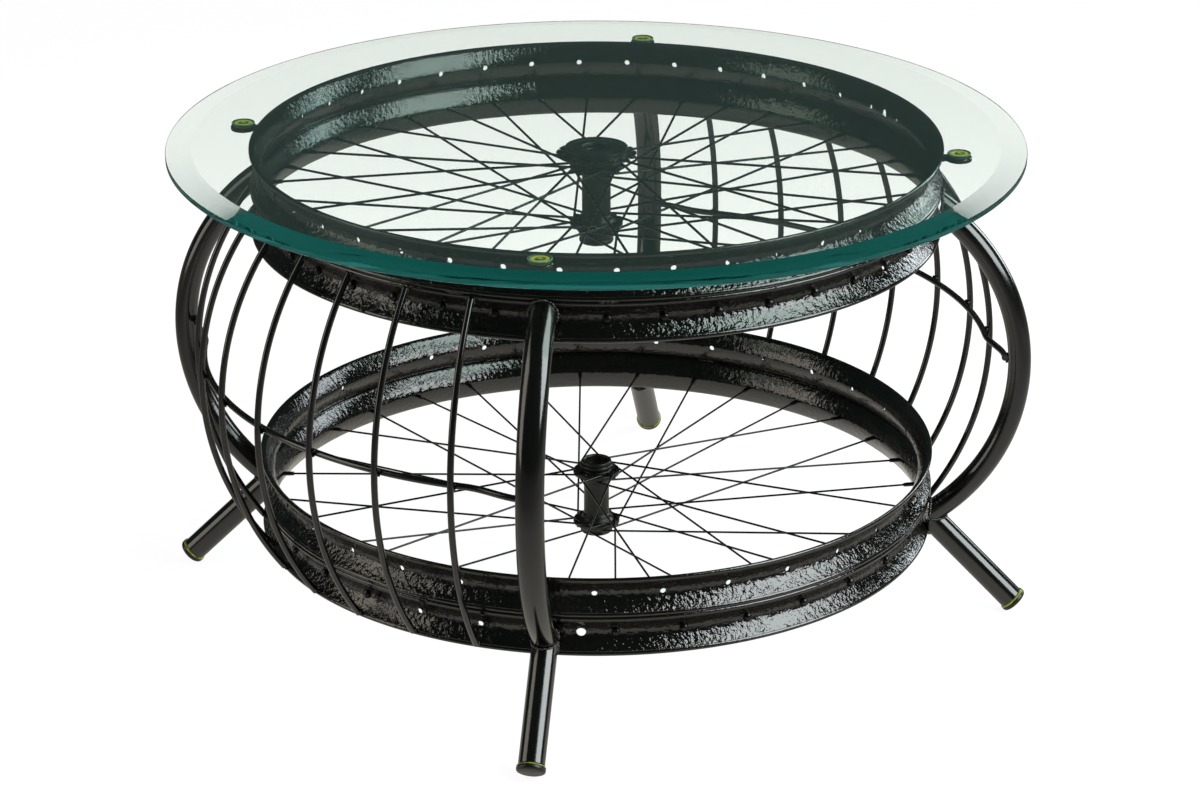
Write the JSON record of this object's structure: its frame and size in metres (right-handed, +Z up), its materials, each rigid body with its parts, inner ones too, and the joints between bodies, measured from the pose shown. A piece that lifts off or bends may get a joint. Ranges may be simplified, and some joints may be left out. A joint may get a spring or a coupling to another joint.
{
  "type": "coffee table",
  "caption": "Round glass coffee table on a barrel-shaped frame of laced bicycle wheels, bowed tube legs with splayed feet and bent rod cages.",
  "frame": {"origin": "middle of the table on the floor", "axes": "+Z up; the legs stand on the X and Y axes, and -Y is the leg nearest the camera in the picture"},
  "size_m": [0.8372, 0.8372, 0.463],
  "materials": {
    "glass": "clear float glass with a green edge, ground bevel",
    "rim_enamel": "glossy black enamel, slightly lumpy",
    "tube_enamel": "glossy black enamel, smooth",
    "hub_enamel": "semi-gloss black enamel",
    "spoke_enamel": "semi-gloss black enamel",
    "pad_rubber": "yellow-green translucent",
    "plug_rubber": "dark matte"
  },
  "bodies": {
    "frame": {"glass_pad_right": "pad_rubber", "glass_pad_back": "pad_rubber", "glass_pad_left": "pad_rubber", "glass_pad_front": "pad_rubber", "pad_tab_right": "tube_enamel", "pad_tab_back": "tube_enamel", "pad_tab_left": "tube_enamel", "pad_tab_front": "tube_enamel", "upper_top_rim": "rim_enamel", "upper_spoked_rim": "rim_enamel", "lower_top_rim": "rim_enamel", "lower_spoked_rim": "rim_enamel", "upper_hub": "hub_enamel", "lower_hub": "hub_enamel", "freewheel_core": "hub_enamel", "upper_spokes_top": "spoke_enamel", "upper_spokes_bottom": "spoke_enamel", "lower_spokes_top": "spoke_enamel", "lower_spokes_bottom": "spoke_enamel", "leg_right": "tube_enamel", "leg_back": "tube_enamel", "leg_left": "tube_enamel", "leg_front": "tube_enamel", "foot_right": "tube_enamel", "foot_back": "tube_enamel", "foot_left": "tube_enamel", "foot_front": "tube_enamel", "foot_plug_right": "plug_rubber", "foot_plug_back": "plug_rubber", "foot_plug_left": "plug_rubber", "foot_plug_front": "plug_rubber", "rod_back_right_1": "tube_enamel", "rod_back_right_2": "tube_enamel", "rod_back_right_3": "tube_enamel", "rod_back_right_4": "tube_enamel", "rod_back_right_5": "tube_enamel", "rod_back_right_6": "tube_enamel", "rod_back_right_7": "tube_enamel", "arc_back_right": "tube_enamel", "rod_front_left_1": "tube_enamel", "rod_front_left_2": "tube_enamel", "rod_front_left_3": "tube_enamel", "rod_front_left_4": "tube_enamel", "rod_front_left_5": "tube_enamel", "rod_front_left_6": "tube_enamel", "rod_front_left_7": "tube_enamel", "arc_front_left": "tube_enamel"},
    "glass": {"glass_top": "glass"},
    "sprocket": {"freewheel_sprocket": "hub_enamel"}
  },
  "joints": [
    {"name": "glass_lift", "type": "slide", "parent": "frame", "child": "glass", "axis": [0, 0, 1], "range_m": [0, 0.1]},
    {"name": "sprocket_spin", "type": "hinge", "parent": "frame", "child": "sprocket", "pos_m": [0, 0, 0.44], "axis": [0, 0, 1], "continuous": true}
  ]
}
